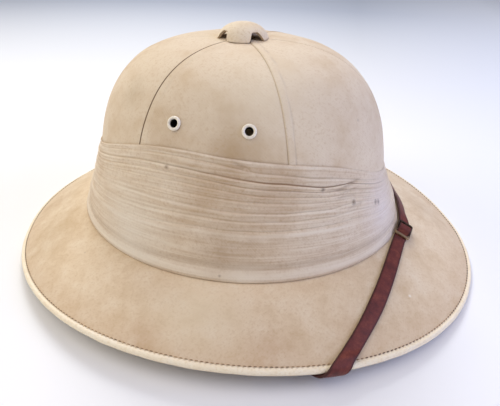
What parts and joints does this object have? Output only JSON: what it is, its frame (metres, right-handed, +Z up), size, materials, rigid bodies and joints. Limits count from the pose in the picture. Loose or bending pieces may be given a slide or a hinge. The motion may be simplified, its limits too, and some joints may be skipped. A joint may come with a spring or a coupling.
{
  "type": "pith helmet",
  "caption": "Cloth-covered pith sun helmet with a sewn-panel dome, sloping bound brim, pleated puggaree, lobed ventilator cap, eyelets and a leather chin strap over the brim.",
  "frame": {"origin": "middle of the bounding box at the level of the table, under the lowest part of the rim", "axes": "+X towards the front of the helmet, +Y towards the wearer's left, +Z up"},
  "size_m": [0.3416, 0.2986, 0.1555],
  "materials": {
    "helmet_cloth": "matt khaki cotton drill, aged and slightly mottled",
    "pleated_cloth": "matt khaki cotton, folded in narrow pleats",
    "binding_tape": "cream cotton edging, sewn with brown thread",
    "pith_shell": "plain matt inside of the shell",
    "strap_leather": "reddish-brown leather with darker worn edges",
    "eyelet_metal": "off-white enamelled eyelets",
    "slide_metal": "dark tarnished slide with a worn lower bar",
    "rivet_metal": "plain dull rivets"
  },
  "bodies": {
    "root": {"crown": "pith_shell", "crown_panel_1": "helmet_cloth", "crown_panel_2": "helmet_cloth", "crown_panel_3": "helmet_cloth", "crown_panel_4": "helmet_cloth", "crown_panel_5": "helmet_cloth", "crown_panel_6": "helmet_cloth", "brim": "helmet_cloth", "brim_binding": "binding_tape", "puggaree": "pleated_cloth", "ventilator_cap": "helmet_cloth", "eyelet_1": "eyelet_metal", "eyelet_2": "eyelet_metal", "eyelet_3": "eyelet_metal", "eyelet_4": "eyelet_metal", "chin_strap": "strap_leather", "strap_slide": "slide_metal", "strap_rivet_right": "rivet_metal", "strap_rivet_left": "rivet_metal"}
  },
  "joints": []
}
